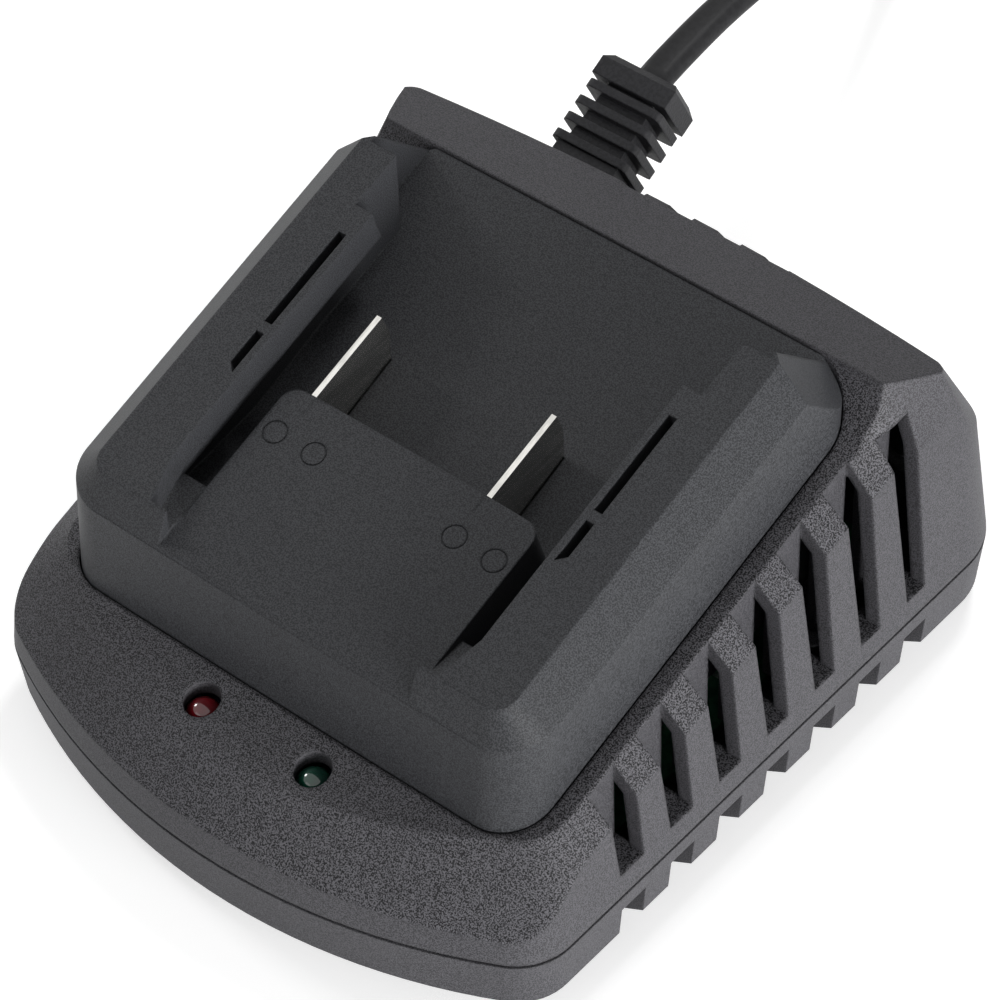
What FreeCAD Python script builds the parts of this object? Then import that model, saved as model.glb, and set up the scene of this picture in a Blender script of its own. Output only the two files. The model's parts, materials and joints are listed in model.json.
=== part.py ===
"""Desktop charger for a slide-on power tool battery, with its mains cord put away in a coil.

X runs across the charger, Y from the front ledge with the lamps to the cord at the rear, Z up.
All sizes are millimetres.  The model is drawn about the parting line and moved at the end so that
its origin is the middle of the footprint on the table.
"""
import FreeCAD, Part
import math
import os

V = FreeCAD.Vector

# housing outline at the parting line
PARTING_Z = 11.2
PARTING_GAP = 0.25
HALF_WIDTH = 48.92
SIDE_FLARE = 0.043
FRONT_Y = -51.54
FRONT_RADIUS = 93.3
FRONT_CORNER = 9.0
REAR_Y = 65.6
REAR_RADIUS = 400.0
REAR_CORNER = 12.1
UPPER_DRAFT = 0.1235
LOWER_DRAFT = 0.088
SKIN = 2.4

# bottom shell
BEVEL_TOP_Z = 2.5
BEVEL_RUN = 3.8
NOTCH_TOP_Z = 7.9
NOTCH_DEPTH = 3.2
PLINTH_WALL = 6.2
PLINTH_TOP_Z = 8.6
FLOOR_TOP_Z = 2.4

# posts and screws that close the housing
POST_RADIUS = 3.4
POST_FOOT_Z = 11.6
POST_FRONT_TOP_Z = 26.0
POST_REAR_TOP_Z = 17.6
POST_BORE_TOP_Z = 16.6
SCREW_BORE = 1.7
SCREW_TIP_Z = 16.0

# sloping flank and front band under the crease
RIDGE_X = 42.33
RIDGE_FLARE = 0.006
RIDGE_Z = 34.34
RISE = 0.266
BAND_FALL = 1.125
BAND_LOW_Z = 14.0
BAND_FOOT_Z = 16.3
BAND_FOOT_Y = -50.9
FRONT_RUN = 1.13
BAND_CORNER = 9.5
BAND_CORNER_Z = 25.0
BAND_CORNER_GROWTH = 0.9
BAND_FLATTENING = 0.000378
BAND_SPLIT_Z = 36.0
BAND_END_Y = 30.0

# raised rear plate
PLATE_FRONT_Y = 40.0
PLATE_Z = 51.0
PLATE_FALL = 0.277
PLATE_REAR_Y = 52.9
PLATE_REAR_Z = 47.4
PLATE_REAR_RADIUS = 407.0
REAR_RUN = 0.64
SWEEP_START_Y = 31.0
SWEEP_MID = (36.9, 45.9)

# vent slots of the flanks
SLOT_COUNT = 7
SLOT_PITCH = 10.0
SLOT_FIRST_Y = -23.33
SLOT_WIDTH = 5.37
SLOT_TAPER = 0.024
SLOT_FLOOR_Z = 15.1
SLOT_BACK_X = 42.45
PANEL = 1.5
LAST_SLOT_TOP_Z = 44.15

# rear vents
REAR_VENT_FIRST_X = -8.4
REAR_VENT_PITCH = 8.2
REAR_VENT_COUNT = 6
REAR_VENT_WIDTH = 4.2

# lamps
LED_X = 9.56
LED_Y = -38.9
LED_HOLE = 5.2
LED_DIAMETER = 5.0
LED_RECESS = 0.85
LED_BARREL = 5.3
LED_LEG_X = 1.27

# cradle that takes the battery, tilted with its rear end up
TILT = 15.5
DOCK_Z = 53.68
CRADLE_HALF = 39.5
CRADLE_FRONT_Y = -34.1
CRADLE_REAR_Y = 39.75
CRADLE_CORNER = 7.0
CRADLE_BASE_Z = 21.0
CRADLE_WALL = 3.0
BEVEL_IN_X = 34.86
BEVEL_IN_V = -31.6
BEVEL_OUT_V = -35.2
BEVEL_DROP = 4.53
LIP_X = 25.98
LIP_THICK = 5.6
RAIL_X = 29.0
NOTCH_V = 18.9
RAIL_END_Y = 27.0
RECESS_X = 33.6
DECK_HALF = 21.2
DECK_DROP = 3.99
DECK_REAR_V = -6.0
CHANNEL_FRONT_V = -24.0
SLIT_INNER_X = 26.98
SLIT_OUTER_X = 28.36
LONG_SLIT = (-1.88, 14.37)
SHORT_SLIT = (-10.44, -9.08, -3.55)
MARK_RADIUS = 1.8
MARKS = ((-18.5, -13.2), (-11.9, -13.1), (11.9, -13.1), (18.5, -13.2))
FIT_GAP = 0.25

# contact blades
BLADE_X = (-17.4, 12.2)
BLADE_THICK = 0.8
BLADE_FRONT_V = -9.0
BLADE_REAR_Y = 10.2
BLADE_DROP = 4.05

# strain relief and cord
RELIEF_X = -22.0
RELIEF_BASE = (59.0, 36.2)
RELIEF_ANGLE = 26.0
FIN_WIDTH = 13.0
FIN_HEIGHT = 9.5
FIN_THICK = 1.3
FIN_PITCH = 2.9
FIN_COUNT = 4
CORD_WIDTH = 5.4
CORD_HEIGHT = 3.4
CORD_REST_Z = 1.75
COIL_RADIUS = 32.4
COIL_PITCH = 6.1
COIL_LAYER = 4.8
COIL_TURNS = 3.75
COIL_DIP = 1.2
COIL_TAIL = 6.0
COIL_CENTRE = (0.0, 210.0)
LIFT_TURNS = 0.2
LIFT_RISE = 8.8
LIFT_ARC = 30.0


def box(x0, x1, y0, y1, z0, z1):
    return Part.makeBox(x1 - x0, y1 - y0, z1 - z0, V(x0, y0, z0))


def rod(x, y, z0, z1, radius):
    return Part.makeCylinder(radius, z1 - z0, V(x, y, z0))


def arc(a, b, c):
    return Part.Arc(a, b, c).toShape()


def line(a, b):
    return Part.LineSegment(a, b).toShape()


def polygon(points):
    return Part.makePolygon(points + [points[0]])


def prism(points, direction):
    return Part.Face(polygon(points)).extrude(direction)


def mirrored(shape):
    return shape.mirror(V(0, 0, 0), V(1, 0, 0))


def both_sides(shape):
    return shape.fuse(mirrored(shape))


# Plan outlines with arched ends and rounded corners

def corner_points(side_x, flare, centre_y, end_radius, corner, sign):
    """Tangent points and middle of one right-hand corner; sign -1 is the front, +1 the rear."""
    lean = math.sqrt(1 + flare * flare)
    inner_x = side_x - corner * lean
    reach = end_radius - corner
    a = 1 + flare * flare
    b = inner_x * flare - centre_y
    c = inner_x * inner_x + centre_y * centre_y - reach * reach
    y = (-b + sign * math.sqrt(b * b - a * c)) / a
    x = inner_x + flare * y
    out = V(1 / lean, -flare / lean, 0)
    away = V(x, y - centre_y, 0).normalize()
    middle = V(x, y, 0)
    on_side = middle + out * corner
    on_end = V(0, centre_y, 0) + away * end_radius
    halfway = middle + (out + away).normalize() * corner
    return on_side, halfway, on_end


def outline(z, side_x, flare, front, rear):
    """Closed wire; front and rear are (y at the middle, radius, corner radius)."""
    f_side, f_mid, f_end = corner_points(side_x, flare, front[0] + front[1], front[1], front[2], -1)
    r_side, r_mid, r_end = corner_points(side_x, flare, rear[0] - rear[1], rear[1], rear[2], 1)
    up = V(0, 0, z)
    flip = lambda p: V(-p.x, p.y, p.z)
    p = [q + up for q in (f_end, f_mid, f_side, r_side, r_mid, r_end)]
    m = [flip(q) for q in p]
    edges = [
        arc(m[0], V(0, front[0], z), p[0]),
        arc(p[0], p[1], p[2]),
        line(p[2], p[3]),
        arc(p[3], p[4], p[5]),
        arc(p[5], V(0, rear[0], z), m[5]),
        arc(m[5], m[4], m[3]),
        line(m[3], m[2]),
        arc(m[2], m[1], m[0]),
    ]
    return Part.Wire(edges)


def loft(wires):
    return Part.makeLoft(wires, True, True)


def body_outline(z, inset):
    lean = math.sqrt(1 + SIDE_FLARE * SIDE_FLARE)
    front = (FRONT_Y + inset, FRONT_RADIUS - inset, max(FRONT_CORNER - inset, 1.0))
    rear = (REAR_Y - inset, REAR_RADIUS - inset, max(REAR_CORNER - inset, 1.0))
    return outline(z, HALF_WIDTH - inset * lean, SIDE_FLARE, front, rear)


# Upper housing

def drafted_wall(skin, z0, z1):
    low = body_outline(z0, skin + UPPER_DRAFT * (z0 - PARTING_Z))
    high = body_outline(z1, skin + UPPER_DRAFT * (z1 - PARTING_Z))
    return loft([low, high])


def band_outline(z, skin):
    """Level line of the sloping band: arched front, rounded corner, straight flank."""
    flare = RIDGE_FLARE + BAND_FALL * RISE
    side_x = RIDGE_X + BAND_FALL * (RIDGE_Z - z) - skin * 1.5
    apex = BAND_FOOT_Y + FRONT_RUN * (z - BAND_FOOT_Z) + skin * 1.5
    bend = 1 / FRONT_RADIUS - BAND_FLATTENING * (z - BAND_FOOT_Z)
    corner = max(BAND_CORNER + BAND_CORNER_GROWTH * (BAND_CORNER_Z - z), 1.5)
    front = (apex, 1 / bend, corner)
    rear = (120.0, 900.0, 2.0)
    return outline(z, side_x, flare, front, rear)


def band_block(skin):
    lower = loft([band_outline(BAND_LOW_Z, skin), band_outline(BAND_SPLIT_Z, skin)])
    below = Part.Face(band_outline(BAND_LOW_Z, skin)).extrude(V(0, 0, -BAND_LOW_Z))
    flare = RIDGE_FLARE + BAND_FALL * RISE
    levels = []
    for z in (BAND_SPLIT_Z, 48.0):
        x = RIDGE_X + BAND_FALL * (RIDGE_Z - z) - skin * 1.5
        front_x = x - flare * 10
        rear_x = x + flare * 60
        levels.append(polygon([V(front_x, -10, z), V(rear_x, 60, z), V(-rear_x, 60, z), V(-front_x, -10, z)]))
    upper = loft(levels)
    front_part = lower.fuse([upper, below])
    return front_part.common(box(-90, 90, -90, BAND_END_Y, 0, 70))


HIP = (
    (30.0, 42.51, 42.32, 46.96, 38.06),
    (36.0, 42.55, 45.00, 47.06, 39.50),
    (40.0, 42.40, 50.70, 47.12, 39.70),
    (42.0, 43.30, 50.45, 47.20, 39.60),
    (45.3, 44.80, 49.50, 47.50, 38.80),
    (48.4, 46.00, 48.70, 47.85, 37.90),
    (70.0, 47.30, 42.70, 49.00, 32.30),
)


def hip_section(y, top_x, top_z, low_x, low_z, skin):
    """Cross section of the raised rear part, its side line carried on past the top."""
    top_x = low_x + (top_x - low_x) * 1.5 - skin
    top_z = low_z + (top_z - low_z) * 1.5
    low_x = low_x - skin
    foot_x = low_x + 6.0
    half = [V(foot_x, y, 4.0), V(low_x, y, low_z), V(top_x, y, top_z)]
    other = [V(-p.x, p.y, p.z) for p in reversed(half)]
    return polygon(half + other)


def hip_block(skin):
    return loft([hip_section(*row, skin) for row in HIP])


def roof_z(y):
    """Height of the sloping roof, one plane from the lamps' ledge to the raised rear plate."""
    return RIDGE_Z + RISE * y


def roof_profile(skin):
    drop = skin * 1.04
    rise_end = V(0, SWEEP_START_Y, roof_z(SWEEP_START_Y) - drop)
    nose = V(0, -70, roof_z(-70) - drop)
    crest = V(0, PLATE_FRONT_Y + skin, PLATE_Z - drop)
    bend = V(0, SWEEP_MID[0] + skin * 0.7, SWEEP_MID[1] - drop)
    tail = V(0, 80, PLATE_Z - PLATE_FALL * (80 - PLATE_FRONT_Y) - drop)
    edges = [
        line(V(0, -70, -5), nose),
        line(nose, rise_end),
        arc(rise_end, bend, crest),
        line(crest, tail),
        line(tail, V(0, 80, -5)),
        line(V(0, 80, -5), V(0, -70, -5)),
    ]
    face = Part.Face(Part.Wire(edges))
    face.translate(V(-70, 0, 0))
    return face.extrude(V(140, 0, 0))


def rear_bevel_outline(z, skin):
    apex = PLATE_REAR_Y + REAR_RUN * (PLATE_REAR_Z - z) - skin * 1.2
    centre = PLATE_REAR_Y - PLATE_REAR_RADIUS
    corner = max(0.6 + 0.565 * (52.0 - z), 0.6)
    side_x = 46.6 + 0.228 * (PLATE_REAR_Z - z) - skin
    return outline(z, side_x, 0.0, (-100.0, 300.0, 4.0), (apex, apex - centre, corner))


def rear_bevel(skin):
    return loft([rear_bevel_outline(2.0, skin), rear_bevel_outline(52.0, skin)])


def upper_form(skin, z0):
    form = drafted_wall(skin, z0, 60.0)
    form = form.common(band_block(skin).fuse(hip_block(skin)))
    form = form.common(roof_profile(skin))
    return form.common(rear_bevel(skin))


def slot_y(index):
    return SLOT_FIRST_Y + SLOT_PITCH * index


def slot_cutter(index):
    y0 = slot_y(index)
    y1 = y0 + SLOT_WIDTH
    ridge = RIDGE_Z + RISE * y0
    inset = SLOT_TAPER * (ridge - SLOT_FLOOR_Z)
    over = 12.0
    points = [
        V(0, y0 + inset, SLOT_FLOOR_Z),
        V(0, y1 - inset, SLOT_FLOOR_Z),
        V(0, y1 + SLOT_TAPER * over, ridge + over),
        V(0, y0 - SLOT_TAPER * over, ridge + over),
    ]
    if index == SLOT_COUNT - 1:
        points[2] = V(0, y1, LAST_SLOT_TOP_Z + RISE * SLOT_WIDTH)
        points[3] = V(0, y0, LAST_SLOT_TOP_Z)
    cutter = prism(points, V(20, 0, 0))
    cutter.translate(V(SLOT_BACK_X, 0, 0))
    return cutter


def slot_lining(index):
    """Back panel and floor that keep fingers and screws out of each slot."""
    y0 = slot_y(index) - 0.1
    y1 = slot_y(index) + SLOT_WIDTH + 0.1
    back = box(SLOT_BACK_X - PANEL, SLOT_BACK_X, y0, y1, SLOT_FLOOR_Z - PANEL, 52)
    floor = box(SLOT_BACK_X - PANEL, 52, y0, y1, SLOT_FLOOR_Z - PANEL, SLOT_FLOOR_Z)
    return back.fuse(floor)


def rear_vent_cutter(index):
    x = REAR_VENT_FIRST_X + REAR_VENT_PITCH * index
    half = REAR_VENT_WIDTH / 2
    return box(x - half, x + half, 52.2, 75, 36.5, 47.9)


def cradle_outline(z, grow, front_y, rear_y):
    half = CRADLE_HALF + grow
    corner = CRADLE_CORNER + grow
    return outline(z, half, 0.0, (front_y - grow, 5000.0, corner), (rear_y + grow, 5000.0, corner))


def cradle_block(grow, z0, z1):
    lean = 0.083
    low = cradle_outline(z0, grow, CRADLE_FRONT_Y + lean * (z0 - 24), CRADLE_REAR_Y)
    high = cradle_outline(z1, grow, CRADLE_FRONT_Y + lean * (z1 - 24), CRADLE_REAR_Y)
    return loft([low, high])


def screw_post(x, y):
    """Blind post of the upper housing that a case screw pulls on; the rear ones hang on the slot linings."""
    top = POST_FRONT_TOP_Z if y < 0 else POST_REAR_TOP_Z
    post = rod(x, y, POST_FOOT_Z, top, POST_RADIUS)
    return post.cut(rod(x, y, POST_FOOT_Z - 1, POST_BORE_TOP_Z, SCREW_BORE))


def top_shell():
    outer = upper_form(0.0, PARTING_Z + PARTING_GAP)
    shell = outer.cut(upper_form(SKIN, 5.0))
    posts = [screw_post(x, y).common(outer) for x, y in SCREW_SPOTS]
    shell = shell.multiFuse(posts)
    linings = [slot_lining(i) for i in range(SLOT_COUNT)]
    ribs = linings[0].multiFuse(linings[1:])
    ribs = both_sides(ribs).common(outer)
    shell = shell.fuse(ribs)
    cutters = [slot_cutter(i) for i in range(SLOT_COUNT)]
    cutters += [mirrored(c) for c in cutters]
    cutters += [rear_vent_cutter(i) for i in range(REAR_VENT_COUNT)]
    cutters += [rod(s * LED_X, LED_Y, 15, 30, LED_HOLE / 2) for s in (-1, 1)]
    cutters.append(cradle_block(FIT_GAP, 18.0, 62.0))
    cutters.append(relief_socket(0.0))
    return shell.cut(cutters[0].multiFuse(cutters[1:]))


# Lower housing

def lower_form(inset):
    drop = PARTING_Z - PARTING_GAP - BEVEL_TOP_Z
    top = body_outline(PARTING_Z - PARTING_GAP, inset)
    mid = body_outline(BEVEL_TOP_Z, inset + LOWER_DRAFT * drop)
    low = body_outline(0.0, inset + LOWER_DRAFT * drop + BEVEL_RUN)
    return loft([mid, top]).fuse(loft([low, mid]))


def notch_cutter(index):
    y0 = slot_y(index) + 0.3
    y1 = slot_y(index) + SLOT_WIDTH - 0.3
    return box(30, 60, y0, y1, -2, NOTCH_TOP_Z)


FOOT_SPOTS = ((-36.0, -30.0), (36.0, -30.0), (-38.0, 46.0), (38.0, 46.0))
SCREW_SPOTS = ((-27.0, -38.0), (27.0, -38.0), (-39.0, 30.0), (39.0, 30.0))
BOARD_SPOTS = ((-34.0, -14.0), (34.0, -14.0), (-34.0, 42.0), (34.0, 42.0))


def bottom_shell():
    shell = lower_form(0.0)
    cavity = loft([body_outline(PLINTH_TOP_Z, 2.6), body_outline(12.0, SKIN)])
    sump = loft([body_outline(FLOOR_TOP_Z, PLINTH_WALL), body_outline(PLINTH_TOP_Z, PLINTH_WALL)])
    shell = shell.cut(cavity.fuse(sump))
    band = lower_form(-0.5).cut(lower_form(NOTCH_DEPTH))
    notches = [notch_cutter(i) for i in range(SLOT_COUNT)]
    notches += [mirrored(n) for n in notches]
    shell = shell.cut(notches[0].multiFuse(notches[1:]).common(band))
    for x, y in SCREW_SPOTS:
        shell = shell.fuse(rod(x, y, 0.5, 10.4, 4.6))
        shell = shell.cut(rod(x, y, -1, 5.2, 3.4))
        shell = shell.cut(rod(x, y, -1, 11, 1.7))
    for x, y in BOARD_SPOTS:
        shell = shell.fuse(rod(x, y, 1.0, 6.0, 3.2))
        shell = shell.cut(rod(x, y, 2.0, 7, 1.25))
    for x, y in FOOT_SPOTS:
        shell = shell.cut(rod(x, y, -1, 0.7, 5.2))
    return shell.cut(box(-24, 24, -12, 22, -1, 0.4))


def rubber_feet():
    feet = [rod(x, y, -1.0, 0.7, 5.0) for x, y in FOOT_SPOTS]
    return Part.makeCompound(feet)


def case_screws():
    screws = []
    for x, y in SCREW_SPOTS:
        head = rod(x, y, 2.8, 5.2, 3.0)
        shank = rod(x, y, 5.2, SCREW_TIP_Z, 1.6)
        along = box(x - 2, x + 2, y - 0.4, y + 0.4, 2.7, 3.9)
        across = box(x - 0.4, x + 0.4, y - 2, y + 2, 2.7, 3.9)
        screws.append(head.fuse(shank).cut([along, across]))
    return Part.makeCompound(screws)


def board_screws():
    screws = []
    for x, y in BOARD_SPOTS:
        head = rod(x, y, 7.6, 9.4, 2.6)
        shank = rod(x, y, 2.4, 7.6, 1.2)
        screws.append(head.fuse(shank).cut(box(x - 2, x + 2, y - 0.35, y + 0.35, 8.6, 10)))
    return Part.makeCompound(screws)


# Cradle, drawn level in (x, v, w) and tipped back

def tipped(shape):
    shape = shape.copy()
    shape.rotate(V(0, 0, 0), V(1, 0, 0), TILT)
    shape.translate(V(0, 0, DOCK_Z))
    return shape


def slope_point(v, w):
    t = math.radians(TILT)
    return v * math.cos(t) - w * math.sin(t), DOCK_Z + v * math.sin(t) + w * math.cos(t)


def rail_limit():
    """Space under the rail tops and their outer bevel."""
    top = outline(0.0, BEVEL_IN_X, 0.0, (BEVEL_IN_V, 5000.0, 3.0), (60.0, 5000.0, 2.0))
    low = outline(-BEVEL_DROP, CRADLE_HALF + 0.02, 0.0, (BEVEL_OUT_V, 5000.0, 6.6), (60.0, 5000.0, 2.0))
    under = box(-60, 60, -80, 80, -60, -BEVEL_DROP)
    return tipped(loft([low, top]).fuse(under))


def corner_facet():
    """Sloping rear corner behind the right rail."""
    normal = V(0.600, 0.560, 0.572)
    base = V(CRADLE_HALF, RAIL_END_Y - 0.3, 56.4)
    block = Part.makeBox(80, 80, 40, V(-40, -40, 0))
    block.Placement = FreeCAD.Placement(base, FreeCAD.Rotation(V(0, 0, 1), normal))
    return block.common(box(5, 70, RAIL_END_Y - 6, 70, 30, 90))


def lip_opening():
    """Plan between the two lips, curved together at the front, cut down through them."""
    right = [
        V(LIP_X, 70, 0), V(LIP_X, -24.3, 0), V(24.9, -28.5, 0), V(23.9, -32.0, 0), V(DECK_HALF, -36.6, 0),
    ]
    left = [V(-p.x, p.y, 0) for p in reversed(right)]
    points = right + [V(DECK_HALF, -50, 0), V(-DECK_HALF, -50, 0)] + left
    block = prism(points, V(0, 0, 30))
    block.translate(V(0, 0, -LIP_THICK))
    return block


def dock_floor_cutter():
    """Everything between the rails above the scooped floor, in charger axes."""
    floor = [
        V(0, -30, 35.5), V(0, -5.0, 38.2), V(0, 1.0, 40.0), V(0, 10.0, 43.0),
        V(0, 25.0, 46.9), V(0, CRADLE_REAR_Y + 0.3, PLATE_Z - 0.2), V(0, 60, PLATE_Z - 0.2),
        V(0, 60, 90), V(0, -30, 90),
    ]
    return prism(floor, V(160, 0, 0)), floor


def dock_hollow():
    block, _ = dock_floor_cutter()
    block.translate(V(-80, 0, 0))
    ramp = channel_ramp()
    wide = box(-RAIL_X, RAIL_X, -40, 60, 20, 80)
    under_lip = tipped(box(-RAIL_X, RAIL_X, CHANNEL_FRONT_V - 6, 60, -40, -LIP_THICK))
    between = tipped(lip_opening())
    rear = tipped(box(-RAIL_X, RAIL_X, NOTCH_V, 60, -40, 20))
    recess = box(-RECESS_X, RECESS_X, RAIL_END_Y, 60, 20, 80)
    space = under_lip.common(wide).fuse([between, rear, recess])
    return space.common(block).cut([deck_block(), ramp])


def channel_ramp():
    """Rounded end that closes both channels at the front."""
    y0, z0 = slope_point(CHANNEL_FRONT_V, -LIP_THICK)
    y1, z1 = slope_point(CHANNEL_FRONT_V + 7.0, -LIP_THICK - 8.5)
    ym, zm = slope_point(CHANNEL_FRONT_V + 1.6, -LIP_THICK - 5.6)
    edges = [
        arc(V(0, y0, z0), V(0, ym, zm), V(0, y1, z1)),
        line(V(0, y1, z1), V(0, y1, 25)),
        line(V(0, y1, 25), V(0, -45, 25)),
        line(V(0, -45, 25), V(0, -45, z0)),
        line(V(0, -45, z0), V(0, y0, z0)),
    ]
    face = Part.Face(Part.Wire(edges))
    face.translate(V(-60, 0, 0))
    return face.extrude(V(120, 0, 0))


def deck_block():
    plan = outline(0.0, DECK_HALF, 0.0, (-50.0, 5000.0, 1.0), (DECK_REAR_V, 900.0, 2.6))
    block = Part.Face(plan).extrude(V(0, 0, 30))
    block.translate(V(0, 0, -DECK_DROP - 30))
    return tipped(block)


def cradle_cavity():
    """Hollow underside, kept a wall thick below floor, rails and deck."""
    inner = cradle_block(-CRADLE_WALL, 15.0, 60.0)
    roof = [
        V(0, -60, 10), V(0, -60, 31.0), V(0, -10, 31.5), V(0, -3, 35.3),
        V(0, 10, 40.2), V(0, 25, 44.1), V(0, 60, 52.5), V(0, 60, 10),
    ]
    mould = prism(roof, V(120, 0, 0))
    mould.translate(V(-60, 0, 0))
    return inner.common(mould)


def rail_slits():
    long_slit = box(SLIT_INNER_X, SLIT_OUTER_X, LONG_SLIT[0], LONG_SLIT[1], -9, 3)
    inner_v, outer_v, rear_v = SHORT_SLIT
    points = [
        V(SLIT_INNER_X, inner_v, 0), V(SLIT_OUTER_X, outer_v, 0),
        V(SLIT_OUTER_X, rear_v, 0), V(SLIT_INNER_X, rear_v, 0),
    ]
    short_slit = prism(points, V(0, 0, 12))
    short_slit.translate(V(0, 0, -9))
    return tipped(both_sides(long_slit.fuse(short_slit)))


def mould_marks():
    rings = []
    for x, v in MARKS:
        ring = rod(x, v, -DECK_DROP - 0.2, -DECK_DROP + 1, MARK_RADIUS)
        ring = ring.cut(rod(x, v, -DECK_DROP - 1, -DECK_DROP + 2, MARK_RADIUS - 0.22))
        rings.append(ring)
    return tipped(rings[0].multiFuse(rings[1:]))


def battery_cradle():
    body = cradle_block(0.0, CRADLE_BASE_Z, 66.0).common(rail_limit())
    facet = corner_facet()
    body = body.cut([facet, mirrored(facet)])
    body = body.cut(dock_hollow())
    above_deck = tipped(box(-DECK_HALF, DECK_HALF, -60, 0, -DECK_DROP, 30))
    body = body.cut(above_deck.common(deck_tunnel()))
    body = body.cut(cradle_cavity())
    body = body.cut([rail_slits(), mould_marks()])
    for slot in blade_slots():
        body = body.cut(slot)
    return body


def deck_tunnel():
    return box(-DECK_HALF, DECK_HALF, -60, 20, 20, 80)


def blade_profile(drop):
    """Side view of a contact blade, upright at its rear end."""
    front_y, front_z = slope_point(BLADE_FRONT_V, -BLADE_DROP)
    rear_y, rear_z = slope_point(8.1, -BLADE_DROP)
    return [
        V(0, front_y, front_z), V(0, rear_y, rear_z),
        V(0, BLADE_REAR_Y, rear_z - 3.6), V(0, BLADE_REAR_Y, 43.0 - drop),
        V(0, 1.0, 40.0 - drop), V(0, front_y, 38.0 - drop),
    ]


def blade(x):
    plate = prism(blade_profile(5.0), V(BLADE_THICK, 0, 0))
    tab = box(0, BLADE_THICK, -5, 1, 27.5, 36)
    plate = plate.fuse(tab)
    plate.translate(V(x - BLADE_THICK / 2, 0, 0))
    return plate


def blade_slots():
    slots = []
    for x in BLADE_X:
        slot = prism(blade_profile(6.0), V(BLADE_THICK + 0.3, 0, 0))
        slot.translate(V(x - BLADE_THICK / 2 - 0.15, 0, 0))
        slots.append(slot.fuse(box(x - 0.55, x + 0.55, -5.2, 1.2, 27, 36.5)))
    return slots


# Lamps

def lamp(side):
    x = side * LED_X
    centre_z = roof_z(LED_Y) - LED_RECESS - LED_DIAMETER / 2
    foot_z = centre_z - LED_BARREL
    barrel = rod(x, LED_Y, foot_z, centre_z, LED_DIAMETER / 2)
    dome = Part.makeSphere(LED_DIAMETER / 2, V(x, LED_Y, centre_z))
    flange = rod(x, LED_Y, foot_z - 0.8, foot_z + 0.2, 2.9)
    legs = [box(x + d - 0.25, x + d + 0.25, LED_Y - 0.25, LED_Y + 0.25, BOARD_TOP, foot_z - 0.6)
            for d in (-LED_LEG_X, LED_LEG_X)]
    return barrel.fuse([dome, flange] + legs)


# Electronics

BOARD_Z = 6.0
BOARD_TOP = 7.6
BOARD_CLEARANCE = 0.8


def circuit_board():
    inset = PLINTH_WALL + BOARD_CLEARANCE
    inside = loft([body_outline(BOARD_Z, inset), body_outline(BOARD_TOP, inset)])
    board = box(-39, 39, -44, 50, BOARD_Z, BOARD_TOP).common(inside)
    for x, y in BOARD_SPOTS:
        board = board.cut(rod(x, y, 5, 9, 1.6))
    for x, y in SCREW_SPOTS:
        board = board.cut(rod(x, y, 5, 9, 5.6))
    return board


def transformer():
    core = box(-22, 10, 9, 35, 10.0, 32.0)
    windows = [box(-23, 11, 14, 17, 8, 28), box(-23, 11, 27, 30, 8, 28)]
    bobbin = box(-26, 13.6, 12.5, 31.5, BOARD_TOP, 10.2)
    return core.cut(windows).fuse(bobbin)


def bulk_capacitor():
    can = rod(22.2, 27, BOARD_TOP, 37.0, 8.0)
    return can.cut(rod(22.2, 27, 36.4, 38, 6.6))


def output_capacitors():
    cans = [rod(x, -27, BOARD_TOP, 19.5, 4.0) for x in (-19, 19)]
    cans.append(rod(4, -26, BOARD_TOP, 24.0, 4.0))
    return Part.makeCompound(cans)


def choke():
    return Part.makeTorus(6.0, 3.2, V(-27.5, -2.5, BOARD_TOP + 3.2), V(0, 0, 1))


def heat_sink():
    plate = box(30, 32, -6, 17, BOARD_TOP, 30)
    fins = [box(32, 36, y, y + 1.4, BOARD_TOP + 3, 30) for y in range(-6, 17, 5)]
    return plate.fuse(fins)


def power_transistor():
    tab = box(28.6, 30, 4, 14, 14, 28)
    pack = box(25.6, 28.6, 4, 14, 14, 22.5)
    legs = [box(27, 27.6, y, y + 0.8, BOARD_TOP, 14) for y in (6.0, 8.6, 11.2)]
    return tab.cut(Part.makeCylinder(1.8, 5, V(27, 9, 25.3), V(1, 0, 0))).fuse([pack] + legs)


def bridge_rectifier():
    body = box(8, 22, 2, 6, 10, 20)
    legs = [box(9 + 3.8 * i, 9.8 + 3.8 * i, 3.6, 4.4, BOARD_TOP, 10) for i in range(4)]
    return body.fuse(legs)


def fuse():
    glass = Part.makeCylinder(2.6, 20, V(-30, 13, BOARD_TOP + 3.4), V(0, 1, 0))
    clips = [box(-32.8, -27.2, y, y + 4, BOARD_TOP, BOARD_TOP + 2.4) for y in (13.5, 28.5)]
    return glass.fuse(clips)


def controller_chip():
    body = box(-14, -2, -12, 0, BOARD_TOP + 0.3, BOARD_TOP + 2.2)
    pins = [box(-15.2, -0.8, -11.2 + 1.6 * i, -10.6 + 1.6 * i, BOARD_TOP, BOARD_TOP + 0.5) for i in range(7)]
    return body.fuse(pins)


def input_terminal():
    block = box(-32, -12, 46.2, 49.8, BOARD_TOP, 18)
    holes = [Part.makeCylinder(1.6, 6, V(x, 45, 14), V(0, 1, 0)) for x in (-27, -17)]
    return block.cut(holes)


def bent_wire(points, radius):
    """Thin lead: straight runs with round joints."""
    parts = []
    for a, b in zip(points, points[1:]):
        step = b - a
        parts.append(Part.makeCylinder(radius, step.Length, a, step))
    for p in points[1:-1]:
        parts.append(Part.makeSphere(radius, p))
    return parts[0].multiFuse(parts[1:])


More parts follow.
